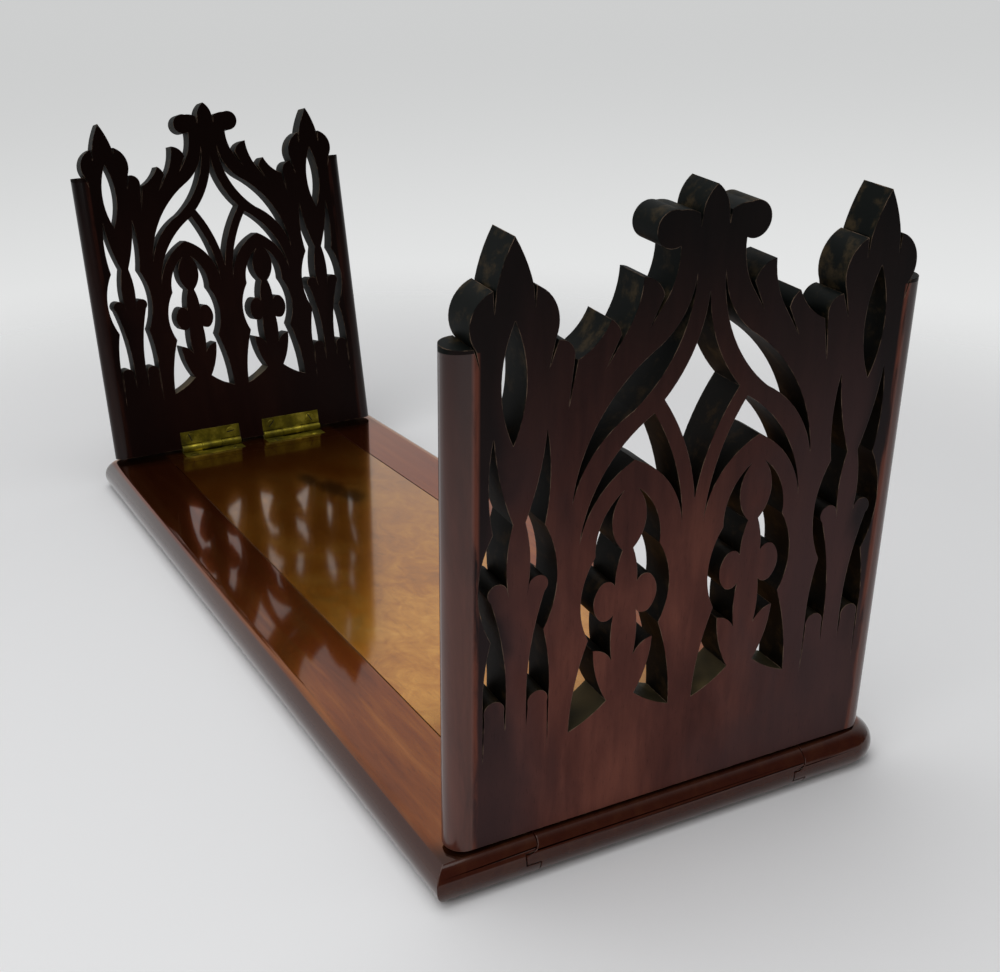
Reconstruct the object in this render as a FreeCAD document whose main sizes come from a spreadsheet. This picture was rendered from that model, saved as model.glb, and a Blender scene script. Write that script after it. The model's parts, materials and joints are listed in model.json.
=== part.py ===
import FreeCAD, Part
import os

# Book slide: an extending book rack with two pierced Gothic ends that fold flat onto its base.
# X runs along the length with the sliding end at +X, Y across with the front edge at -Y, Z up.
# The origin is the centre of the underside, and every size is in millimetres.

DIMENSIONS = {
    # base
    "base_length": 432,
    "base_width": 155.4,
    "base_thickness": 13,
    "corner_rounding": 12,
    "seam_offset": 46,
    "back_seam_drop": 1.8,
    "tongue_length": 4.5,
    "tongue_bottom": 5.5,
    "tongue_top": 9,
    "lip_rounding": 2.8,
    "sliding_gap": 0.25,
    "veneer_thickness": 0.6,
    "far_block_length": 34,
    "slide_travel": 200,
    # strap under the rails
    "strap_width": 14,
    "strap_length": 138,
    "strap_thickness": 1.5,
    "strap_recess": 0.3,
    "strap_centre": 190,
    "strap_clearance": 0.5,
    # pierced ends
    "end_width": 142,
    "end_thickness": 11.4,
    "end_span": 424.2,
    "end_lean": 7,
    "foot_gap": 0.6,
    "side_flat": 0.1,
    "light_axis": 20,
    "panel_axis": 52.3,
    "lancet_axis": 54.3,
    # hinges
    "hinge_length": 32,
    "hinge_short_offset": 21,
    "hinge_long_offset": -24,
    "axis_rise": -0.2,
    "leaf_width": 9,
    "leaf_thickness": 1.2,
    "leaf_clearance": 2.3,
    "leaf_fit": 0.1,
    "knuckle_radius": 2,
    "knuckle_gap": 0.2,
    "knuckle_room": 0.3,
    "pin_radius": 1,
    "pin_clearance": 0.05,
}
KNUCKLES = 3
SHEET = "Dimensions"

os.makedirs("parts", exist_ok=True)
doc = FreeCAD.newDocument("book_slide")
sheet = doc.addObject("Spreadsheet::Sheet", SHEET)
for row, (alias, value) in enumerate(DIMENSIONS.items(), start=1):
    sheet.set(f"A{row}", alias)
    sheet.set(f"B{row}", str(value))
    sheet.setAlias(f"B{row}", alias)
doc.recompute()

Vector = FreeCAD.Vector
Placement = FreeCAD.Placement
ALONG, ACROSS, UP = Vector(1, 0, 0), Vector(0, 1, 0), Vector(0, 0, 1)


def size(alias):
    """A driving dimension, read from the sheet."""
    return float(sheet.get(alias))


def turned(axis, degrees, x=0.0, y=0.0, z=0.0):
    """A placement that turns about an axis and then moves."""
    return Placement(Vector(x, y, z), FreeCAD.Rotation(axis, degrees))


def bind(feature, **expressions):
    """Binds properties of a feature to cells of the sheet, named bare in the expressions."""
    for prop, expression in expressions.items():
        words = expression.split()
        named = [f"{SHEET}.{word}" if word in DIMENSIONS else word for word in words]
        feature.setExpression(prop, " ".join(named))
    return feature


# Outlines: a start point and strokes that each run on from the last point

def line(end):
    return None, end


def arc(middle, end):
    return middle, end


def edges_of(start, *strokes, axis=0.0, side=1, scale=1.0):
    """The edges of an outline, with its first coordinate counted from an axis towards a side."""
    def spot(point):
        return Vector(axis + side * scale * point[0], scale * point[1], 0)

    edges = []
    last = start
    for middle, end in strokes:
        if middle is None:
            edges.append(Part.LineSegment(spot(last), spot(end)))
        else:
            edges.append(Part.Arc(spot(last), spot(middle), spot(end)))
        last = end
    return edges


def add_sketch(body, role, edges, start=0.0):
    """A sketch of edges on an origin plane of a body, moved along the plane's normal."""
    sketch = body.newObject("Sketcher::SketchObject", body.Name + "_sketch")
    plane = next(feature for feature in body.Origin.OriginFeatures if feature.Role == role)
    sketch.AttachmentSupport = [(plane, "")]
    sketch.MapMode = "FlatFace"
    sketch.AttachmentOffset = turned(UP, 0, z=start)
    for edge in edges:
        sketch.addGeometry(edge, False)
    return sketch


def pad_body(name, role, edges, length, start=0.0, **options):
    """A body with one sketch on an origin plane and a pad of that sketch."""
    body = doc.addObject("PartDesign::Body", name)
    pad = body.newObject("PartDesign::Pad", name + "_pad")
    pad.Profile = add_sketch(body, role, edges, start)
    for option, value in options.items():
        setattr(pad, option, value)
    bind(pad, Length=length)
    doc.recompute()
    return body


def box(name, low, **sizes):
    """A box bound to the sheet, from its lowest corner."""
    part = doc.addObject("Part::Box", name)
    part.Placement = turned(UP, 0, *low)
    return bind(part, **sizes)


def cylinder(name, placement, radius, height):
    part = doc.addObject("Part::Cylinder", name)
    part.Placement = placement
    return bind(part, Radius=radius, Height=height)


def fuse(name, parts):
    part = doc.addObject("Part::MultiFuse", name)
    part.Shapes = parts
    return part


def cut(label, base, tools, placement=Placement()):
    """A piece with tools cut out of it."""
    part = doc.addObject("Part::Cut", label)
    part.Base = base
    part.Tool = tools[0] if len(tools) == 1 else fuse(label + "_tools", tools)
    part.Placement = placement
    return part


def common(name, first, second):
    part = doc.addObject("Part::Common", name)
    part.Base = first
    part.Tool = second
    return part


# Places worked out from the driving dimensions

half_length = size("base_length") / 2
half_width = size("base_width") / 2
thickness = size("base_thickness")
rounding = thickness / 2
seam = size("seam_offset")
gap = size("sliding_gap")
roll_start = half_length - rounding
veneer_bottom = thickness - size("veneer_thickness")
block_inner = size("far_block_length") - half_length
slide_start = block_inner + gap

lean = turned(ACROSS, size("end_lean"), x=size("end_span") / 2, z=thickness + size("foot_gap"))
axis_on_end = Vector(-size("end_thickness"), 0, size("axis_rise"))
axis_point = lean.multVec(axis_on_end)
axis_height = axis_point.z - thickness
END_FRAMES = {"near": Placement(), "far": turned(UP, 180)}
HINGES = {"near": {"back": "hinge_short_offset", "front": "hinge_long_offset"},
          "far": {"front": "hinge_short_offset", "back": "hinge_long_offset"}}


# Base boards: the section of each board runs along X, and one roll rounds their ends

def seam_edges(offset, clearance):
    """The stepped seam at an offset, top to bottom: a rounded lip over a tongue over a square lip."""
    drop = size("back_seam_drop") if offset > 0 else 0.0
    face = offset + clearance
    lip_centre = size("tongue_top") + size("lip_rounding") - drop
    nose = offset - size("lip_rounding")
    slope = (size("lip_rounding") + clearance) * 0.5 ** 0.5
    tip = offset - size("tongue_length") + clearance
    upper = size("tongue_top") - drop - clearance
    lower = size("tongue_bottom") - drop + clearance
    return edges_of((face, thickness), line((face, lip_centre)),
                    arc((nose + slope, lip_centre - slope), (nose, upper)),
                    line((tip, upper)), line((tip, lower)), line((face, lower)), line((face, 0)))


def section(left, right):
    """A closed section from the edges of its left and right sides and where those start."""
    left_edges, left_at = left
    right_edges, right_at = right
    top = edges_of((left_at, thickness), line((right_at, thickness)))
    bottom = edges_of((left_at, 0), line((right_at, 0)))
    return left_edges + right_edges + top + bottom


def half_round(side):
    """The rounded long edge of the base, and where its flat starts."""
    flat = side * (half_width - rounding)
    return edges_of((flat, thickness), arc((side * half_width, rounding), (flat, 0))), flat


def stepped(offset, clearance=0.0):
    return seam_edges(offset, clearance), offset + clearance


roll_edges = edges_of((-roll_start, 0), line((roll_start, 0)), arc((half_length, rounding), (roll_start, thickness)),
                      line((-roll_start, thickness)), arc((-half_length, rounding), (-roll_start, 0)))
end_roll = pad_body("end_roll", "XZ_Plane", roll_edges, "base_width", SideType="Symmetric")


def corner_waste(name, frame):
    """What rounds a corner of the base in plan: a square of it less a disc with the same rolled edge."""
    reach = size("corner_rounding")
    centre = frame.multiply(turned(UP, 0, half_length - reach, half_width - reach))
    flat = reach - rounding
    disc = doc.addObject("PartDesign::Body", name + "_disc")
    edges = edges_of((0, 0), line((flat, 0)), arc((reach, rounding), (flat, thickness)), line((0, thickness)),
                     line((0, 0)))
    sketch = add_sketch(disc, "XZ_Plane", edges)
    spin = disc.newObject("PartDesign::Revolution", name + "_spin")
    spin.Profile = sketch
    spin.ReferenceAxis = (sketch, ["V_Axis"])
    disc.Placement = centre
    square = box(name + "_square", (0, 0, 0), Length="corner_rounding * 2", Width="corner_rounding * 2",
                 Height="base_thickness * 2")
    square.Placement = centre.multiply(turned(UP, 0, z=-rounding))
    doc.recompute()
    return cut(name, square, [disc])


def board(name, left, right, start, length):
    """A base board with its rounded end or ends."""
    blank = pad_body(name + "_section", "YZ_Plane", section(left, right), length, start)
    return common(name + "_board", blank, end_roll)


# Hinges: the leaf frame has X away from the pin along the plate, Y along the pin, Z out of the wood

def leaf_placement(end, hinge, on_end):
    """Where a leaf sits: on the leaning end or on the base."""
    offset = size(HINGES[end][hinge])
    if on_end:
        on_face = turned(ACROSS, -90, axis_on_end.x, offset, axis_on_end.z)
        return END_FRAMES[end].multiply(lean).multiply(on_face)
    on_base = turned(UP, 180, axis_point.x, offset, axis_point.z)
    return END_FRAMES[end].multiply(on_base)


def plate_top(on_end):
    """Height of a plate's face over the pin's axis: the end's face runs through it, the base lies below."""
    return 0.0 if on_end else -axis_height


def leaf(label, on_end, placement):
    """A hinge leaf: a plate with knuckles rolled on tabs and a bore for the pin."""
    face = plate_top(on_end)
    low = face - size("leaf_thickness")
    pitch = size("hinge_length") / KNUCKLES
    first = -size("hinge_length") / 2
    plate = box(label + "_plate", (size("leaf_clearance"), first, low), Height="leaf_thickness",
                Length="leaf_width - leaf_clearance", Width="hinge_length")
    pieces = [plate]
    tab_start = 0.0 if on_end else -size("pin_radius")
    for index in range(1 if on_end else 0, KNUCKLES, 2):
        y = first + index * pitch + size("knuckle_gap") / 2
        width = f"hinge_length / {KNUCKLES} - knuckle_gap"
        tab = box(f"{label}_tab_{index}", (tab_start, y, low), Height="leaf_thickness", Width=width,
                  Length="leaf_clearance" if on_end else "leaf_clearance + pin_radius")
        knuckle = cylinder(f"{label}_knuckle_{index}", turned(ALONG, -90, y=y), "knuckle_radius", width)
        pieces += [tab, knuckle]
    bore_radius = "pin_radius + pin_clearance" if on_end else "pin_radius"
    bore = cylinder(label + "_bore", turned(ALONG, -90, y=first), bore_radius, "hinge_length")
    return cut(label, fuse(label + "_blank", pieces), [bore], placement)


def leaf_seat(label, on_end, placement):
    """What a leaf takes out of the wood: its recess and room for the knuckles."""
    face = plate_top(on_end)
    low = face - size("leaf_thickness")
    half = size("hinge_length") / 2 + size("leaf_fit")
    start = 0.0 if on_end else -size("pin_radius")
    recess = box(label + "_recess", (start, -half, low), Height="leaf_thickness + knuckle_radius",
                 Length="leaf_width + leaf_fit" if on_end else "leaf_width + leaf_fit + pin_radius",
                 Width="hinge_length + leaf_fit * 2")
    room = cylinder(label + "_room", turned(ALONG, -90, y=-half), "knuckle_radius + knuckle_room",
                    "hinge_length + leaf_fit * 2")
    seat = fuse(label + "_seat", [recess, room])
    seat.Placement = placement
    return seat


def hinge_set(end):
    """The leaves and pins of an end's two hinges, and the seats that they need in the end and the base."""
    pieces = []
    seats = {True: [], False: []}
    for hinge in HINGES[end]:
        for on_end, word in ((True, "end"), (False, "base")):
            label = f"{end}_{hinge}_hinge_{word}_leaf"
            placement = leaf_placement(end, hinge, on_end)
            pieces.append(leaf(label, on_end, placement))
            seats[on_end].append(leaf_seat(label, on_end, placement))
        along_pin = turned(ALONG, -90, y=-size("hinge_length") / 2)
        place = leaf_placement(end, hinge, False).multiply(along_pin)
        pieces.append(cylinder(f"{end}_{hinge}_hinge_pin", place, "pin_radius", "hinge_length"))
    return pieces, seats[True], seats[False]


# Fretwork of the ends: outlines in millimetres at the width they were drawn for, z up from the foot.
# A thin V is a saw slit.

DRAWN_WIDTH = 142
SHOULDER = 144.4
# Finial, curled leaves along the gable, then a pinnacle with its own leaves and spire
CREST = [
    (0, 176.5), arc((2.4, 174.0), (3.9, 169.6)),
    line((4.2, 166.2)), line((4.6, 169.8)),
    arc((7.3, 170.9), (10.2, 171.1)), arc((16.7, 166.6), (9.7, 162.3)),
    arc((10.2, 155.8), (12.4, 150.0)),
    line((17.2, 142.6)), line((13.4, 150.6)),
    arc((15.8, 154.3), (19.6, 155.9)), arc((21.0, 148.2), (24.2, 141.9)),
    line((29.2, 134.0)), line((25.2, 142.2)),
    arc((26.3, 144.8), (28.2, 146.5)), arc((31.9, 141.1), (37.1, 137.6)),
    line((39.3, 125.3)), line((38.0, 138.6)),
    arc((39.4, 142.2), (42.5, 143.5)),
    line((45.0, 136.5)), line((43.3, 144.2)),
    arc((44.3, 154.0), (48.8, 157.7)),
    line((49.0, 152.0)), line((49.6, 157.8)),
    arc((51.8, 164.2), (54.7, 169.8)), arc((57.5, 163.8), (59.3, 157.6)),
    line((59.7, 151.8)), line((60.1, 157.7)),
    arc((65.1, 153.4), (64.3, 143.8)),
    line((63.3, 138.8)), line((65.0, SHOULDER)),
    line((DRAWN_WIDTH / 2, SHOULDER)), line((DRAWN_WIDTH / 2, 0)),
]
LANCET = [(0, 149.8), arc((3.4, 134.5), (0, 118.2))]
# Counted outward from the axis of a side panel: around its slender leaf down to two tongues
PANEL_SLOT = [
    (7.3, 121.3), arc((8.55, 108.3), (7.3, 95.3)),
    arc((11.3, 80.5), (7.65, 64.7)), arc((9.3, 55.6), (9.8, 44.0)),
    line((9.75, 26.7)), line((9.3, 42.2)), arc((6.4, 46.2), (3.6, 42.2)),
    line((3.15, 35.6)), line((3.0, 43.4)),
    arc((4.0, 60.2), (7.7, 76.2)), arc((5.4, 81.1), (3.0, 78.4)),
    line((2.45, 75.7)), arc((3.35, 86.0), (1.75, 97.0)), arc((5.0, 107.2), (7.3, 121.3)),
]
# Counted outward from the axis of a pointed light: around its bud, round lobes and tulip foot
LIGHT_SLOT = [
    (2.0, 100.0), arc((7.6, 93.4), (9.8, 82.3)), arc((13.7, 70.0), (11.0, 57.6)),
    arc((14.6, 44.6), (16.1, 29.8)), arc((10.4, 32.4), (4.4, 36.7)),
    arc((7.7, 44.2), (9.3, 53.8)), arc((5.3, 52.0), (2.8, 46.8)),
    arc((4.05, 56.4), (3.2, 65.4)),
    arc((4.8, 62.4), (7.6, 62.7)), arc((9.8, 68.0), (7.6, 73.5)), arc((4.8, 73.8), (3.3, 70.8)),
    arc((3.1, 77.2), (1.65, 82.6)), arc((5.2, 92.2), (2.0, 100.0)),
]
GABLE_SLOT = [
    (4.2, 155.3), arc((7.4, 144.6), (15.5, 136.4)), arc((29.4, 122.2), (37.3, 99.0)),
    arc((32.4, 110.8), (20.6, 121.5)), arc((9.8, 134.0), (4.2, 155.3)),
]
SPANDREL = [
    (14.3, 119.8), arc((7.2, 105.4), (3.4, 85.3)), arc((8.8, 100.0), (19.4, 108.0)),
    arc((29.4, 99.8), (34.8, 86.8)), arc((28.8, 105.2), (14.3, 119.8)),
]
LOZENGE = [(0, 150.0), arc((3.4, 135.6), (11.5, 123.0)), arc((4.4, 110.0), (0, 93.0))]


def fret_edges():
    """Every edge of the fretwork: the crest, the foot and the openings, mirrored about the middle."""
    scale = size("end_width") / DRAWN_WIDTH
    half = size("end_width") / 2
    edges = edges_of((-half, 0), line((half, 0)))
    for side in (-1, 1):
        for outline in (CREST, GABLE_SLOT, SPANDREL, LOZENGE):
            edges += edges_of(*outline, side=side, scale=scale)
        for outline, axis in ((LANCET, "lancet_axis"), (PANEL_SLOT, "panel_axis"), (LIGHT_SLOT, "light_axis")):
            for hand in (-1, 1):
                edges += edges_of(*outline, axis=side * size(axis), side=hand, scale=scale)
    return edges


def side_edges(shape):
    """Names of the four upright corner edges of an end."""
    names = []
    for index, edge in enumerate(shape.Edges, start=1):
        bounds = edge.BoundBox
        at_side = abs(abs(bounds.Center.y) - size("end_width") / 2) < 0.01 and bounds.YLength < 0.01
        if at_side and bounds.ZLength > SHOULDER / 2:
            names.append(f"Edge{index}")
    return names


def bookend(label, end, seats):
    """A pierced end with half-round sides, leaning on the outer edge of its foot."""
    body = pad_body(label + "_blank", "YZ_Plane", fret_edges(), "end_thickness", Reversed=True)
    pad = body.Tip
    roll = body.newObject("PartDesign::Fillet", label + "_side_rounding")
    roll.Base = (pad, side_edges(pad.Shape))
    bind(roll, Radius="end_thickness / 2 - side_flat / 2")
    body.Placement = END_FRAMES[end].multiply(lean)
    doc.recompute()
    return cut(label, body, seats)


# The strap under the rails ties them together and stops the slide

strap_start = size("strap_centre") - size("strap_width") / 2


def strap_box(name, low, height):
    return box(name, (strap_start, -size("strap_length") / 2, low), Length="strap_width", Width="strap_length",
               Height=height)


def slide_trench():
    """The trench under the slide board that passes over the strap; its far end stops the slide."""
    low = strap_start - size("slide_travel") - size("strap_clearance")
    return box("slide_trench", (low, -half_width, -size("strap_clearance")), Width="base_width",
               Length="slide_travel + strap_width + strap_clearance * 2",
               Height="strap_recess + strap_thickness + strap_clearance * 2")


def veneer_sheet(label, low_x, length, low_y, width):
    """A sheet of veneer flush with the top of the base, before the hinge seats are cut."""
    return box(label, (low_x, low_y, veneer_bottom), Length=length, Width=width, Height="veneer_thickness")


# Assembly

near_hardware, near_end_seats, near_base_seats = hinge_set("near")
far_hardware, far_end_seats, far_base_seats = hinge_set("far")
strap = strap_box("tie_strap", size("strap_recess"), "strap_thickness")
strap_seat = strap_box("strap_seat", 0, "strap_recess + strap_thickness")

front_board = board("front_rail", half_round(-1), stepped(-seam), -half_length, "base_length")
back_board = board("back_rail", stepped(seam, gap), half_round(1), -half_length, "base_length")
slide_blank = board("slide_board", stepped(-seam, gap), stepped(seam), slide_start,
                    "base_length - far_block_length - sliding_gap")
block_blank = board("far_block", stepped(-seam), stepped(seam, gap), -half_length, "far_block_length")

slide_sheet = veneer_sheet("slide_sheet", slide_start, "base_length - far_block_length - sliding_gap"
                           " - base_thickness / 2", gap - seam, "seam_offset * 2 - sliding_gap")
block_sheet = veneer_sheet("block_sheet", -roll_start, "far_block_length - base_thickness / 2", -seam,
                           "seam_offset * 2 + sliding_gap")

nodes = [
    cut("front_rail", front_board, [strap_seat, corner_waste("far_front_corner", END_FRAMES["far"])]),
    cut("back_rail", back_board, [strap_seat, corner_waste("near_back_corner", END_FRAMES["near"])]),
    cut("far_block", block_blank, [block_sheet] + far_base_seats),
    cut("far_block_veneer", block_sheet, far_base_seats),
    cut("slide_board", slide_blank, [slide_sheet, slide_trench()] + near_base_seats),
    cut("slide_veneer", slide_sheet, near_base_seats),
    bookend("near_bookend", "near", near_end_seats),
    bookend("far_bookend", "far", far_end_seats),
    strap,
] + near_hardware + far_hardware
doc.recompute()

# Checks, then one file for each piece

for item in doc.Objects:
    if "Invalid" in item.State or "Error" in item.State:
        raise RuntimeError(f"{item.Label} failed: {item.State}")
for node in nodes:
    if node.Shape.isNull() or not node.Shape.isValid():
        raise RuntimeError(f"{node.Label} has no valid shape")
for node in nodes:
    node.Shape.exportStep(f"parts/{node.Label}.step")
    print(node.Label, len(node.Shape.Solids), round(node.Shape.Volume, 1))
print("hinge axis", round(axis_point.x, 3), round(axis_point.z, 3), "above the base", round(axis_height, 3))
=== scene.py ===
import json
import math

import bmesh
import bpy
from mathutils import Matrix, Vector


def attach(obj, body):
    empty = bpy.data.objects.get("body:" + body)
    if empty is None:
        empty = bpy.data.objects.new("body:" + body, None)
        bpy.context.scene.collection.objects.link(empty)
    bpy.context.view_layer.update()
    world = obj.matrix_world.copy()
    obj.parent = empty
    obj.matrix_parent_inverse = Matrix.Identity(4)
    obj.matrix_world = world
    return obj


# Looks of a book slide with pierced ends: polished wood, figured veneer, old brass.
# Everything is in metres, in the frame of the solids: X along the base, Y across, Z up.
# Colours are linear red, green and blue.

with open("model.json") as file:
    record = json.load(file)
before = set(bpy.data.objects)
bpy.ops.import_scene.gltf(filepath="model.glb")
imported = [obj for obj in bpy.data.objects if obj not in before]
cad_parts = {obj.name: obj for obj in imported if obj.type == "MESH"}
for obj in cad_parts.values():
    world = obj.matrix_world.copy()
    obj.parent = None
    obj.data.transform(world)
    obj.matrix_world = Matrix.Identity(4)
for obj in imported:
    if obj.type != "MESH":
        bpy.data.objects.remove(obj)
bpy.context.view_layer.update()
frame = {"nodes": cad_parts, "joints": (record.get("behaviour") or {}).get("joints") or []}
joints = {joint["name"]: joint for joint in frame["joints"]}

MM = 0.001
# An upright end lies flat when it has turned by a right angle, and a leaning one turns by its lean more
RIGHT_ANGLE = 90
LEAN = math.radians(joints["near_end_fold"]["range_deg"][1] - RIGHT_ANGLE)
UP = Vector((0, 0, 1))
DOWN = Vector((0, 0, -1))


# Short calls for building shaders

class Shader:
    """A material and the nodes that feed its surface."""

    def __init__(self, name):
        self.material = bpy.data.materials.new(name)
        self.material.use_nodes = True
        self.tree = self.material.node_tree
        self.surface = self.tree.nodes["Principled BSDF"]
        coordinates = self.add("TexCoord").outputs
        self.place = coordinates["Object"]
        self.facing = coordinates["Normal"]

    def put(self, value, socket):
        """Links a socket's output to an input, or sets the input to a plain value."""
        if isinstance(value, bpy.types.NodeSocket):
            self.tree.links.new(value, socket)
        else:
            socket.default_value = value

    def add(self, kind, inputs=(), **settings):
        node = self.tree.nodes.new("ShaderNode" + kind)
        for setting, value in settings.items():
            setattr(node, setting, value)
        for key, value in dict(inputs).items():
            self.put(value, node.inputs[key])
        return node

    def surface_values(self, **values):
        """Sets inputs of the surface, with spaces in their names written as underscores."""
        for key, value in values.items():
            self.put(value, self.surface.inputs[key.replace("_", " ")])

    def calc(self, operation, first, second=0.0):
        node = self.add("Math", operation=operation)
        self.put(first, node.inputs[0])
        self.put(second, node.inputs[1])
        return node.outputs[0]

    def times(self, first, second):
        return self.calc("MULTIPLY", first, second)

    def shifted(self, value, noise, amount):
        """A value plus an amount of noise, which makes the line where it changes ragged."""
        return self.calc("ADD", value, self.times(noise, amount))

    def blend(self, first, second, share):
        """A sum of two values, the second with a share and the first with the rest."""
        return self.calc("ADD", self.times(first, 1 - share), self.times(second, share))

    def steps(self, value, span, results=(0, 1)):
        """Maps a span of a value smoothly onto two results."""
        ends = {"From Min": span[0], "From Max": span[1], "To Min": results[0], "To Max": results[1]}
        node = self.add("MapRange", {"Value": value, **ends}, interpolation_type="SMOOTHSTEP")
        return node.outputs["Result"]

    def stretched(self, waves, turn=0.0):
        """Object coordinates turned about Y, then scaled to a number of waves in a metre along each axis."""
        turned = self.add("Mapping", {"Vector": self.place, "Rotation": (0, turn, 0)}).outputs[0]
        return self.add("Mapping", {"Vector": turned, "Scale": waves}).outputs[0]

    def away_from(self, centre, reach):
        """Distance from a centre, counted in reaches along each axis."""
        near = self.add("VectorMath", {0: self.place, 1: centre}, operation="SUBTRACT").outputs[0]
        scaled = self.add("VectorMath", {0: near, 1: reach}, operation="DIVIDE").outputs[0]
        return self.add("VectorMath", {0: scaled}, operation="LENGTH").outputs["Value"]

    def noise(self, vector, scale=1.0, detail=4.0, roughness=0.55, distortion=0.0):
        values = {"Vector": vector, "Scale": scale, "Detail": detail, "Roughness": roughness,
                  "Distortion": distortion}
        return self.add("TexNoise", values).outputs["Fac"]

    def ramp(self, value, stops):
        """A colour for each value, from stops of position and colour."""
        node = self.add("ValToRGB", {"Fac": value})
        elements = node.color_ramp.elements
        while len(elements) < len(stops):
            elements.new(0.5)
        for element, (position, colour) in zip(elements, stops):
            element.position = position
            element.color = (*colour, 1)
        return node.outputs["Color"]

    def mix(self, factor, first, second):
        node = self.add("Mix", data_type="RGBA")
        for socket, value in zip((node.inputs[0], node.inputs[6], node.inputs[7]), (factor, first, second)):
            self.put((*value, 1) if isinstance(value, tuple) else value, socket)
        return node.outputs[2]

    def bump(self, height, strength, distance, normal=None):
        node = self.add("Bump", {"Height": height, "Strength": strength, "Distance": distance})
        if normal:
            self.put(normal, node.inputs["Normal"])
        return node.outputs["Normal"]

    def axis(self, vector, letter):
        return self.add("SeparateXYZ", {"Vector": vector}).outputs[letter]


# Wood of the base: its polish gives coloured, mirror-like reflections, so the grain shimmers as it turns

SHIMMER = 0.82
RAIL_GRAIN = ((0.3, (0.09, 0.017, 0.003)), (0.5, (0.2, 0.052, 0.01)), (0.7, (0.35, 0.125, 0.036)))
BARE_GRAIN = ((0.3, (0.07, 0.035, 0.018)), (0.7, (0.18, 0.1, 0.055)))
RAIL_PORE = (0.03, 0.008, 0.004)
# Painted shade that darkens the rails towards the far end
RAIL_PAINTED_SHADE = (0.035, 0.004, 0.001)
RAIL_PAINTED_SHADE_SPAN = (-0.2, 0.08)
# Painted shade and reflection of the far end's foot, near black by its hinges
FAR_FOOT_PAINTED_SHADE = (0.003, 0.002, 0.001)
FAR_FOOT_SHADE_SPAN = (-0.2, -0.182)
# Painted shade on top along the foot of the near end
NEAR_FOOT_PAINTED_SHADE = (0.012, 0.004, 0.003)
NEAR_FOOT_SHADE_SPAN = (0.199, 0.211)
RAIL_EDGE = (0.02, 0.004, 0.004)
RAIL_GLANCE = (0.9, 0.5, 0.3, 1)
FACES_UP = (0.86, 0.99)
FACES_DOWN = (-0.97, -0.8)


def rail_wood():
    """Dark red polished wood with its grain along the base. It shimmers on top, is plain and glossy on the
    rounded edges and bare underneath. Painted shade darkens it towards the far end, painted shade and
    reflection of the far end's foot make it near black by the hinges there, and painted shade darkens its
    top along the foot of the near end."""
    s = Shader("polished_rail_wood")
    streaks = s.noise(s.stretched((14, 210, 210)), detail=7, roughness=0.62, distortion=0.35)
    clouds = s.noise(s.stretched((9, 26, 26)), detail=3)
    pores = s.noise(s.stretched((150, 2400, 2400)), detail=2)
    tone = s.blend(streaks, clouds, share=0.4)
    along = s.axis(s.place, "X")
    upward = s.axis(s.facing, "Z")
    on_top = s.steps(upward, FACES_UP)
    under = s.steps(upward, FACES_DOWN, (1, 0))

    colour = s.ramp(tone, RAIL_GRAIN)
    colour = s.mix(s.steps(pores, (0.62, 0.72), (0, 0.4)), colour, RAIL_PORE)
    # Painted shade, darker towards the far end
    colour = s.mix(s.steps(along, RAIL_PAINTED_SHADE_SPAN, (0.68, 0)), colour, RAIL_PAINTED_SHADE)
    # Painted shade and reflection of the far end's foot, near black by its hinges
    colour = s.mix(s.steps(along, FAR_FOOT_SHADE_SPAN, (0.85, 0)), colour, FAR_FOOT_PAINTED_SHADE)
    edge = s.mix(0.9, colour, RAIL_EDGE)
    # Painted shade on top along the foot of the near end
    top = s.mix(s.steps(along, NEAR_FOOT_SHADE_SPAN, (0, 0.85)), colour, NEAR_FOOT_PAINTED_SHADE)
    bare = s.ramp(tone, BARE_GRAIN)

    polished = s.steps(streaks, (0.3, 0.7), (0.2, 0.12))
    coat = s.times(s.steps(on_top, (0, 1), (0.8, 0.68)), s.steps(under, (0, 1), (1, 0)))
    s.surface_values(Base_Color=s.mix(under, s.mix(on_top, edge, top), bare),
                     Metallic=s.times(on_top, SHIMMER),
                     Roughness=s.calc("MAXIMUM", polished, s.times(under, 0.65)),
                     Normal=s.bump(pores, strength=0.12, distance=0.02 * MM),
                     Specular_IOR_Level=0.1, Specular_Tint=RAIL_GLANCE,
                     Coat_Weight=coat, Coat_Roughness=0.05, Coat_IOR=1.42)
    return s.material


VENEER_FIGURE = ((0.3, (0.2, 0.055, 0.003)), (0.48, (0.45, 0.155, 0.012)), (0.62, (0.63, 0.28, 0.042)),
                 (0.78, (0.8, 0.49, 0.15)))
VENEER_FIBRE = (0.15, 0.04, 0.003)
# Painted shade that darkens the veneer towards the far end
VENEER_FAR_PAINTED_SHADE = (0.16, 0.034, 0.001)
VENEER_FAR_SHADE_SPAN = (-0.2, 0.14)
VENEER_SHADED = (0.055, 0.009, 0.002)
VENEER_SHADE = (-0.2, -0.11)
# Painted shade by the sliding end's hinges, where the polish has also rubbed off
VENEER_NEAR_PAINTED_SHADE = (0.02, 0.009, 0.004)
VENEER_NEAR_SHADE_AND_WEAR_SPAN = (0.145, 0.215)
VENEER_GLANCE = (0.92, 0.68, 0.4, 1)
STAIN = (0.035, 0.014, 0.003)
STAIN_EDGE = (1.1, 2.1)
# Each spot of the stain has a centre and how far it reaches along each axis
STAIN_SPOTS = (((-0.118, 0.005, 0.013), (0.014, 0.005, 0.02)),
               ((-0.101, 0.0102, 0.013), (0.015, 0.007, 0.02)),
               ((-0.085, 0.0148, 0.013), (0.013, 0.007, 0.02)))
FAR_FROM_STAIN = 9.0


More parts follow.
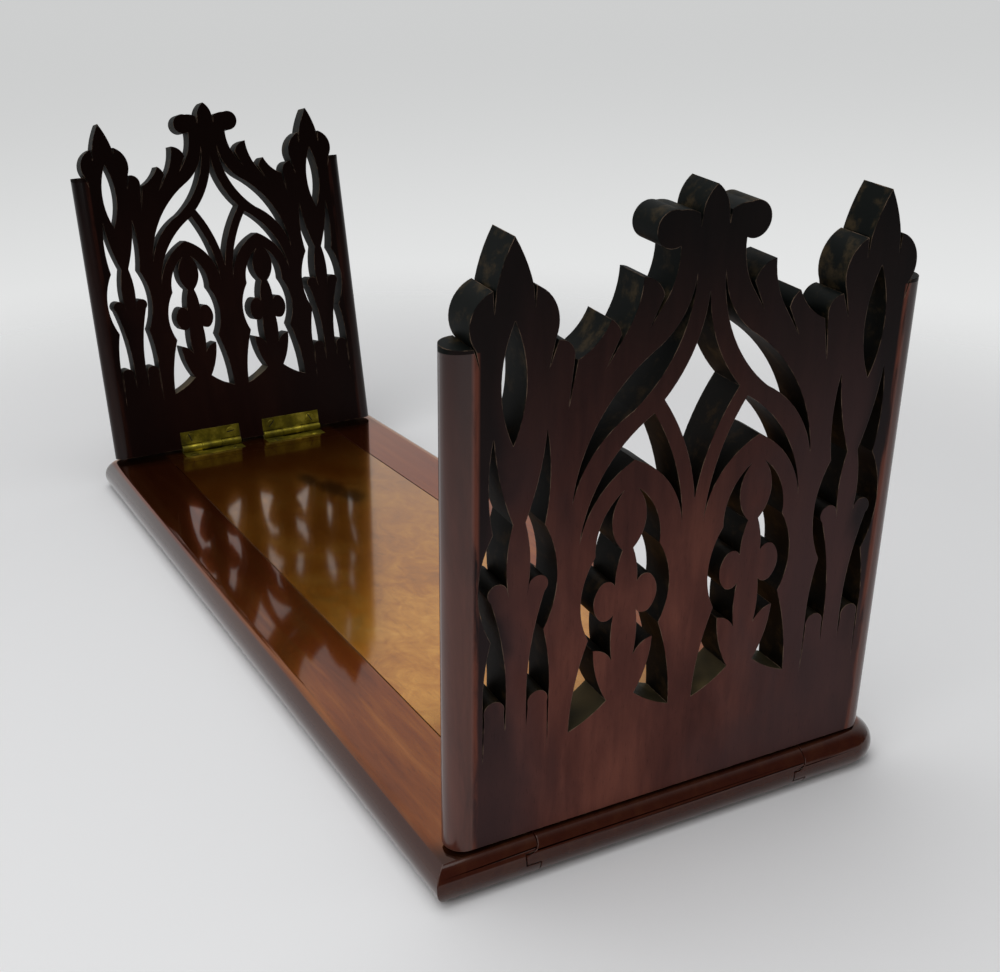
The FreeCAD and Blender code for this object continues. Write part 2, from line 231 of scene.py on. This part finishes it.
def figured_veneer():
    """Golden burr veneer: clouds of tone, curled figure, fine fibres and an old dark stain, under a high
    polish. Painted shade darkens it towards the far end, more so close to that end. By the sliding end's
    hinges painted shade makes it near black, and there its polish has rubbed off."""
    s = Shader("figured_veneer")
    clouds = s.noise(s.stretched((22, 34, 34)), detail=5, roughness=0.6, distortion=0.5)
    curls = s.noise(s.stretched((75, 110, 110)), detail=5, roughness=0.65, distortion=1.1)
    fibres = s.noise(s.stretched((90, 900, 900)), detail=3, distortion=0.4)
    along = s.axis(s.place, "X")
    near_stain = FAR_FROM_STAIN
    for centre, reach in STAIN_SPOTS:
        near_stain = s.calc("MINIMUM", s.away_from(centre, reach), near_stain)
    # Painted shade by the sliding end's hinges, where the polish has also rubbed off
    shade_and_wear = s.steps(s.shifted(along, clouds, 0.05), VENEER_NEAR_SHADE_AND_WEAR_SPAN, (0, 0.85))
    kept = s.calc("SUBTRACT", 1, shade_and_wear)

    colour = s.ramp(s.blend(clouds, curls, share=0.4), VENEER_FIGURE)
    colour = s.mix(s.steps(fibres, (0.58, 0.75), (0, 0.25)), colour, VENEER_FIBRE)
    # Painted shade, darker towards the far end
    colour = s.mix(s.steps(along, VENEER_FAR_SHADE_SPAN, (0.75, 0)), colour, VENEER_FAR_PAINTED_SHADE)
    colour = s.mix(s.steps(along, VENEER_SHADE, (0.85, 0)), colour, VENEER_SHADED)
    colour = s.mix(s.steps(s.shifted(near_stain, curls, 1.6), STAIN_EDGE, (0.75, 0)), colour, STAIN)
    # Near black painted shade by the sliding end's hinges, with less polish there
    s.surface_values(Base_Color=s.mix(shade_and_wear, colour, VENEER_NEAR_PAINTED_SHADE), Metallic=s.times(kept, SHIMMER),
                     Roughness=s.calc("ADD", s.steps(curls, (0.3, 0.7), (0.24, 0.16)), s.times(shade_and_wear, 0.3)),
                     Specular_IOR_Level=0.2, Specular_Tint=VENEER_GLANCE,
                     Coat_Weight=kept, Coat_Roughness=0.08, Coat_IOR=1.4)
    return s.material


# Wood of the pierced ends

LOW_GRAIN = ((0.32, (0.04, 0.012, 0.01)), (0.5, (0.088, 0.027, 0.02)), (0.66, (0.15, 0.048, 0.033)))
HIGH_GRAIN = ((0.35, (0.0015, 0.001, 0.001)), (0.7, (0.009, 0.0045, 0.004)))
HIGH_SPAN = (0.1, 0.21)
RED_CENTRE = -0.014
BESIDE_RED = (0.045, 0.024, 0.025)
BESIDE_RED_SPAN = (0.045, 0.08)
STRIP = (0.012, 0.008, 0.009)
STRIP_SPAN = (0.066, 0.076)
STRIP_HEIGHT = (0.03, 0.08)
END_PORE = (0.006, 0.003, 0.003)
# Painted shade: the inner faces, which look towards the other end, near black
INNER_FACE_PAINTED_SHADE = (0.004, 0.0012, 0.0007)
TURNS_OUT = (-0.5, 0.5)
SHOULDER_HEIGHT = 0.156
ROUNDED_SPAN = (0.0643, 0.0653)
ARRIS_START = (0.063, 0.064)
ARRIS_END = (0.0648, 0.0658)
SIDE_DARKENING = (0.09, 0.17)
NEAR_SIDE = {"light": (0.13, 0.04, 0.026), "dark": (0.022, 0.008, 0.007), "gloss": 0.68}
# Painted shade: the far end's rounded sides in darker tones than the near end's, though the wood is the same
FAR_SIDE_PAINTED_SHADE = {"light": (0.02, 0.006, 0.004), "dark": (0.004, 0.002, 0.002), "gloss": 0.3}
WALL_COLOURS = ((0.003, 0.002, 0.001), (0.02, 0.011, 0.004))
CREST_COLOURS = ((0.001, 0.002, 0.0015), (0.03, 0.021, 0.01))
CREST_HEIGHT = (0.125, 0.16)
SILL_COLOURS = ((0.03, 0.024, 0.012), (0.1, 0.07, 0.03))
SILL_HEIGHT = (0.045, 0.065)
SILL_SLOPE = (0.35, 0.7)
RUBBED = (0.26, 0.175, 0.12)
RUB_RADIUS = 0.35 * MM


class EndWood(Shader):
    """Near black polished wood with upright grain, for an end that leans outward."""

    def __init__(self, name, lean):
        super().__init__(name)
        self.height = self.axis(self.place, "Z")
        self.across = self.axis(self.place, "Y")
        self.off_middle = self.calc("ABSOLUTE", self.across)
        self.outward = self.times(self.axis(self.facing, "X"), math.copysign(1, lean))
        self.streaks = self.noise(self.stretched((160, 260, 9), lean), detail=7, roughness=0.6,
                                  distortion=0.3)
        self.clouds = self.noise(self.stretched((30, 34, 16), lean), detail=4, distortion=0.5)
        self.patches = self.noise(self.stretched((24, 30, 20), lean), detail=3, distortion=0.8)
        self.pores = self.noise(self.stretched((1500, 2600, 110), lean), detail=2)

    def face_colour(self):
        """Redder low down in the middle of the outer face, with a dark strip by each side. The rest is
        nearly black, and the inner face is nearly black with painted shade."""
        tone = self.blend(self.streaks, self.clouds, share=0.7)
        off_red = self.calc("ABSOLUTE", self.calc("ADD", self.across, -RED_CENTRE))
        beside_red = self.steps(self.shifted(off_red, self.patches, 0.06), BESIDE_RED_SPAN, (0, 0.75))
        beside_edge = self.steps(self.shifted(self.off_middle, self.patches, 0.03), STRIP_SPAN, (0, 0.9))
        strip = self.times(beside_edge, self.steps(self.height, STRIP_HEIGHT, (0.3, 1)))
        low = self.mix(beside_red, self.ramp(tone, LOW_GRAIN), BESIDE_RED)
        low = self.mix(strip, low, STRIP)
        rise = self.steps(self.shifted(self.height, self.clouds, 0.06), HIGH_SPAN)
        colour = self.mix(rise, low, self.ramp(tone, HIGH_GRAIN))
        colour = self.mix(self.steps(self.pores, (0.6, 0.75), (0, 0.3)), colour, END_PORE)
        # Painted shade on the inner face
        return self.mix(self.steps(self.outward, TURNS_OUT, (0.93, 0)), colour, INNER_FACE_PAINTED_SHADE)

    def with_sides(self, colour, rounded, below_shoulder, light, dark):
        """The rounded sides in their own colours, with a light line along their arris."""
        side = self.mix(self.streaks, dark, light)
        side = self.mix(self.steps(self.height, SIDE_DARKENING), side, dark)
        starts = self.steps(self.off_middle, ARRIS_START)
        ends = self.steps(self.off_middle, ARRIS_END, (1, 0))
        broken = self.times(below_shoulder, self.steps(self.streaks, (0.35, 0.6)))
        line = self.times(self.times(starts, ends), broken)
        return self.mix(line, self.mix(rounded, colour, side), light)

    def wall_colour(self):
        """Bare, dull walls of the piercing: scuffed, more so at the crest, and lighter olive-brown on the
        upward-facing sills low down in the openings."""
        scuffs = self.noise(self.place, scale=170, detail=5, roughness=0.65)
        wall = self.mix(self.steps(scuffs, (0.5, 0.7)), *WALL_COLOURS)
        crest = self.mix(self.steps(scuffs, (0.48, 0.7)), *CREST_COLOURS)
        wall = self.mix(self.steps(self.height, CREST_HEIGHT), wall, crest)
        slope = self.steps(self.axis(self.facing, "Z"), SILL_SLOPE)
        on_sill = self.times(slope, self.steps(self.height, SILL_HEIGHT, (1, 0)))
        return self.mix(on_sill, wall, self.mix(self.steps(self.patches, (0.4, 0.6)), *SILL_COLOURS))

    def rubbed_edges(self):
        """A normal that rounds the sharp edges, and where those edges are rubbed."""
        rounding = self.add("Bevel", {"Radius": RUB_RADIUS}, samples=6).outputs["Normal"]
        normal = self.add("NewGeometry").outputs["Normal"]
        agree = self.add("VectorMath", {0: rounding, 1: normal}, operation="DOT_PRODUCT").outputs["Value"]
        rough = self.steps(self.noise(self.place, scale=260), (0.38, 0.66))
        return rounding, self.times(self.steps(agree, (0.82, 0.98), (1, 0)), rough)

    def assemble(self, light, dark, gloss):
        """Joins the faces, rounded sides, walls and rubbed edges."""
        below_shoulder = self.calc("LESS_THAN", self.height, SHOULDER_HEIGHT)
        rounded = self.times(self.steps(self.off_middle, ROUNDED_SPAN), below_shoulder)
        flat = self.steps(self.calc("ABSOLUTE", self.outward), (0.3, 0.8))
        polished = self.calc("MAXIMUM", flat, rounded)
        colour = self.with_sides(self.face_colour(), rounded, below_shoulder, light, dark)
        colour = self.mix(polished, self.wall_colour(), colour)
        rounding, rub = self.rubbed_edges()
        grain = self.calc("ADD", self.pores, self.streaks)
        self.surface_values(Base_Color=self.mix(self.times(rub, 0.9), colour, RUBBED),
                            Roughness=self.steps(polished, (0, 1), (0.6, 0.34)), Specular_IOR_Level=0.07,
                            Coat_Weight=self.times(rounded, gloss), Coat_Roughness=0.12,
                            Normal=self.bump(grain, strength=0.12, distance=0.03 * MM, normal=rounding))
        return self.material


# Metal

BRASS_TONES = ((0.34, (0.08, 0.064, 0.007)), (0.52, (0.22, 0.18, 0.012)), (0.7, (0.55, 0.45, 0.05)))
BRASS_SPOT = (0.05, 0.04, 0.008)
GRIME_TONES = ((0.4, (0.003, 0.002, 0.001)), (0.65, (0.025, 0.018, 0.005)))


def old_brass():
    """Tarnished brass, brighter where it is rubbed."""
    s = Shader("old_brass")
    tarnish = s.noise(s.place, scale=120, detail=5, roughness=0.6)
    spots = s.noise(s.place, scale=700, detail=3)
    colour = s.mix(s.steps(spots, (0.62, 0.74), (0, 0.5)), s.ramp(tarnish, BRASS_TONES), BRASS_SPOT)
    s.surface_values(Base_Color=colour, Metallic=0.8, Roughness=s.steps(tarnish, (0.35, 0.7), (0.5, 0.34)),
                     Normal=s.bump(spots, strength=0.1, distance=0.03 * MM))
    return s.material


def dark_slot():
    """Grime in the slots of the screws."""
    s = Shader("dark_slot")
    grime = s.noise(s.place, scale=900, detail=4)
    s.surface_values(Base_Color=s.ramp(grime, GRIME_TONES), Roughness=0.8)
    return s.material


# Dressing the solids

WOOD_BEVEL = 0.25 * MM
VENEER_BEVEL = 0.1 * MM
BRASS_BEVEL = 0.12 * MM
WELD_DISTANCE = 0.005 * MM
SHARP_ANGLE = math.radians(32)


def soften(node, width):
    """Breaks the sharp edges of a solid by a small bevel with smooth shading."""
    node.modifiers.new("weld", "WELD").merge_threshold = WELD_DISTANCE
    bevel = node.modifiers.new("bevel", "BEVEL")
    bevel.width = width
    bevel.segments = 2
    bevel.limit_method = "ANGLE"
    bevel.angle_limit = SHARP_ANGLE
    bevel.use_clamp_overlap = False
    node.modifiers.new("normals", "WEIGHTED_NORMAL").keep_sharp = True


def dress(name, material):
    node = frame["nodes"][name]
    node.data.materials.clear()
    node.data.materials.append(material)
    return node


rail = rail_wood()
veneer = figured_veneer()
brass = old_brass()
slot_grime = dark_slot()
for name in ("front_rail", "back_rail", "slide_board", "far_block"):
    soften(dress(name, rail), WOOD_BEVEL)
for name in ("slide_veneer", "far_block_veneer"):
    soften(dress(name, veneer), VENEER_BEVEL)
dress("near_bookend", EndWood("near_end_wood", LEAN).assemble(**NEAR_SIDE))
# The far end's rounded sides get painted shade
dress("far_bookend", EndWood("far_end_wood", -LEAN).assemble(**FAR_SIDE_PAINTED_SHADE))
for name in frame["nodes"]:
    if "hinge" in name or name == "tie_strap":
        soften(dress(name, brass), BRASS_BEVEL)


# Slotted screws of the hinges and of the strap under the base

HEAD_RADIUS = 2.1 * MM
HEAD_CHAMFER = 0.15 * MM
HEAD_STEPS = 14
SLOT_WIDTH = 0.6 * MM
SLOT_FLOOR_SHARE = 0.1
HINGE_HEAD_HEIGHT = 0.3 * MM
STRAP_HEAD_HEIGHT = 0.2 * MM
SCREW_FROM_PIN = 5.7 * MM
SCREW_SPREAD = 11 * MM
PIN_AXIS = Vector(joints["near_end_fold"]["pos_m"])
BASE_TOP = 13 * MM
HINGE_CENTRES = {"back": 21 * MM, "front": -24 * MM}
STRAP_PLACE = Vector((190 * MM, 0, 0.3 * MM))
STRAP_SCREWS = (-63 * MM, -54 * MM, 54 * MM, 63 * MM)
# Angles that leave the slots of neighbouring screws at odds
HINGE_SLOT_TURN = 2.4
SIDE_SLOT_TURNS = 3
STRAP_SLOT_TURN = 1.3


def slotted_head(height):
    """The mesh of a screw head on the XY plane: two bevelled half-discs beside the floor of a slot."""
    head = bmesh.new()
    start = math.asin(SLOT_WIDTH / 2 / HEAD_RADIUS)
    sweep = math.pi - 2 * start
    outline = ((HEAD_RADIUS, 0), (HEAD_RADIUS, height - HEAD_CHAMFER), (HEAD_RADIUS - HEAD_CHAMFER, height))
    for half in (0, math.pi):
        angles = [half + start + sweep * step / HEAD_STEPS for step in range(HEAD_STEPS + 1)]
        rings = []
        for radius, level in outline:
            points = [(radius * math.cos(angle), radius * math.sin(angle), level) for angle in angles]
            rings.append([head.verts.new(point) for point in points])
        for lower, upper in zip(rings, rings[1:]):
            for index in range(-1, HEAD_STEPS):
                head.faces.new((lower[index], lower[index + 1], upper[index + 1], upper[index]))
        head.faces.new(rings[-1])
    reach = HEAD_RADIUS * math.cos(start)
    level = height * SLOT_FLOOR_SHARE
    corners = [(x * reach, y * SLOT_WIDTH / 2, level) for x, y in ((-1, -1), (1, -1), (1, 1), (-1, 1))]
    head.faces.new([head.verts.new(corner) for corner in corners]).material_index = 1
    bmesh.ops.recalc_face_normals(head, faces=head.faces)
    return head


def screw(name, place, outward, turn, height, body):
    """A brass screw whose head stands on a plate at a place and faces outward."""
    head = slotted_head(height)
    pose = Matrix.Translation(place) @ outward.to_track_quat("Z", "Y").to_matrix().to_4x4()
    head.transform(pose @ Matrix.Rotation(turn, 4, "Z"))
    mesh = bpy.data.meshes.new(name)
    head.to_mesh(mesh)
    head.free()
    piece = bpy.data.objects.new(name, mesh)
    bpy.context.scene.collection.objects.link(piece)
    mesh.materials.append(brass)
    mesh.materials.append(slot_grime)
    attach(piece, body)


def hinge_screws(end, leaf_body, base_body):
    """Two screws in each leaf of an end's two hinges. The far end is the near end turned half round, and the
    names of its screws keep the sides that they have before that turn."""
    half_turn = Matrix.Rotation(math.pi if end == "far" else 0, 4, "Z")
    up_face = Vector((math.sin(LEAN), 0, math.cos(LEAN)))
    into_rack = Vector((-math.cos(LEAN), 0, math.sin(LEAN)))
    base_spot = Vector((PIN_AXIS.x - SCREW_FROM_PIN, 0, BASE_TOP))
    leaves = (("end", PIN_AXIS + up_face * SCREW_FROM_PIN, into_rack, leaf_body),
              ("base", base_spot, UP, base_body))
    for hinge, centre in HINGE_CENTRES.items():
        for leaf, spot, outward, body in leaves:
            for count, side in enumerate((-1, 1), start=1):
                place = half_turn @ (spot + Vector((0, centre + side * SCREW_SPREAD, 0)))
                turn = HINGE_SLOT_TURN * (centre / MM + SIDE_SLOT_TURNS * side + len(leaf))
                screw(f"{end}_{hinge}_{leaf}_screw_{count}", place, half_turn.to_3x3() @ outward, turn,
                      HINGE_HEAD_HEIGHT, body)


hinge_screws("near", "near_end", "slide")
hinge_screws("far", "far_end", "base")
for count, y in enumerate(STRAP_SCREWS, start=1):
    screw(f"strap_screw_{count}", STRAP_PLACE + Vector((0, y, 0)), DOWN, STRAP_SLOT_TURN * count,
          STRAP_HEAD_HEIGHT, "base")


# Studio: a pale floor that fades into the backdrop, soft light from above and the left, a bright wall behind
# and a dark room in front

FLOOR_RADIUS = 3
FLOOR_SIDES = 96
FLOOR_COLOUR = (0.85, 0.85, 0.86, 1)
FLOOR_CENTRE = (0.045, 0.05, 0)
FLOOR_REACH = (1.0, 0.65, 1)
FLOOR_FADE = (0.36, 0.9)
WORLD_COLOUR = (0.99, 1.0, 1.0, 1)
WALL_SIDE = Vector((-0.8, 0.15, 0.3)).normalized()
DARK_ROOM = 0.03
WALL_BRIGHTNESS = 0.76
GROUND_BRIGHTNESS = 0.5


def floor():
    bpy.ops.mesh.primitive_circle_add(vertices=FLOOR_SIDES, radius=FLOOR_RADIUS, fill_type="NGON")
    disc = bpy.context.object
    disc.name = "floor"
    s = Shader("pale_floor")
    s.surface_values(Base_Color=FLOOR_COLOUR, Roughness=0.7)
    clear = s.add("BsdfTransparent").outputs[0]
    faded = s.add("MixShader", {0: s.steps(s.away_from(FLOOR_CENTRE, FLOOR_REACH), FLOOR_FADE)})
    s.put(s.surface.outputs[0], faded.inputs[1])
    s.put(clear, faded.inputs[2])
    s.put(faded.outputs[0], s.tree.nodes["Material Output"].inputs["Surface"])
    disc.data.materials.append(s.material)


def backdrop():
    """A world that looks pale grey, brighter low down. Polish mirrors a bright wall behind the object, a
    dark room in front of it and the pale ground beyond the floor, and the rest is lit evenly."""
    world = bpy.data.worlds.new("studio")
    bpy.context.scene.world = world
    world.use_nodes = True
    nodes, links = world.node_tree.nodes, world.node_tree.links
    look = nodes.new("ShaderNodeTexCoord").outputs["Generated"]
    path = nodes.new("ShaderNodeLightPath").outputs

    def glow(direction, span, strengths):
        """A strength that grows as the look turns to a direction."""
        towards = nodes.new("ShaderNodeVectorMath")
        towards.operation = "DOT_PRODUCT"
        towards.inputs[1].default_value = direction
        links.new(look, towards.inputs[0])
        grown = nodes.new("ShaderNodeMapRange")
        grown.interpolation_type = "SMOOTHSTEP"
        for key, value in zip(("From Min", "From Max", "To Min", "To Max"), span + strengths):
            grown.inputs[key].default_value = value
        links.new(towards.outputs["Value"], grown.inputs["Value"])
        return grown.outputs["Result"]

    def choose(ray, otherwise, chosen):
        """One strength for a kind of ray and another for the rest."""
        choice = nodes.new("ShaderNodeMix")
        links.new(path[ray], choice.inputs[0])
        links.new(otherwise, choice.inputs[2])
        links.new(chosen, choice.inputs[3])
        return choice.outputs[0]

    def brighter(first, second):
        most = nodes.new("ShaderNodeMath")
        most.operation = "MAXIMUM"
        links.new(first, most.inputs[0])
        links.new(second, most.inputs[1])
        return most.outputs[0]

    even = glow(UP, span=(-0.3, 0.9), strengths=(0.2, 0.32))
    wall = glow(WALL_SIDE, span=(-0.2, 0.7), strengths=(DARK_ROOM, WALL_BRIGHTNESS))
    ground = glow(DOWN, span=(-0.03, 0.03), strengths=(DARK_ROOM, GROUND_BRIGHTNESS))
    seen = glow(DOWN, span=(0.02, 0.22), strengths=(0.62, 0.8))
    lit = choose("Is Glossy Ray", even, brighter(wall, ground))
    background = nodes["Background"]
    background.inputs["Color"].default_value = WORLD_COLOUR
    links.new(choose("Is Camera Ray", lit, seen), background.inputs["Strength"])


def softbox(name, place, aim, size, power):
    lamp = bpy.data.lights.new(name, "AREA")
    lamp.size = size
    lamp.energy = power
    holder = bpy.data.objects.new(name, lamp)
    holder.location = place
    holder.rotation_euler = (Vector(aim) - Vector(place)).to_track_quat("-Z", "Y").to_euler()
    bpy.context.scene.collection.objects.link(holder)


# Camera fitted to the photo

VIEW_AZIMUTH = math.radians(64.05)
VIEW_ELEVATION = math.radians(19.03)
VIEW_ROLL = math.radians(-2.69)
CAMERA_PLACE = Vector((0.51309, -0.19785, 0.23167))
FOCAL_PIXELS = 1398.94
IMAGE_WIDTH = 1000
SENSOR_WIDTH = 36


def camera():
    lens = bpy.data.cameras.new("camera")
    lens.sensor_fit = "HORIZONTAL"
    lens.sensor_width = SENSOR_WIDTH
    lens.lens = SENSOR_WIDTH * FOCAL_PIXELS / IMAGE_WIDTH
    lens.clip_start = 10 * MM
    holder = bpy.data.objects.new("camera", lens)
    right = Vector((math.cos(VIEW_AZIMUTH), math.sin(VIEW_AZIMUTH), 0))
    back = right.cross(UP) * math.cos(VIEW_ELEVATION) + UP * math.sin(VIEW_ELEVATION)
    axes = Matrix((right, back.cross(right), back)).transposed().to_4x4()
    holder.matrix_world = Matrix.Translation(CAMERA_PLACE) @ axes @ Matrix.Rotation(VIEW_ROLL, 4, "Z")
    bpy.context.scene.collection.objects.link(holder)
    bpy.context.scene.camera = holder


floor()
backdrop()
softbox("key", place=(0.78, -0.84, 0.97), aim=(0, 0, 0.05), size=1.4, power=9)
softbox("top", place=(0, -0.2, 1.8), aim=(0, 0, 0), size=1.6, power=13)
camera()
bpy.context.scene.view_settings.view_transform = "Standard"
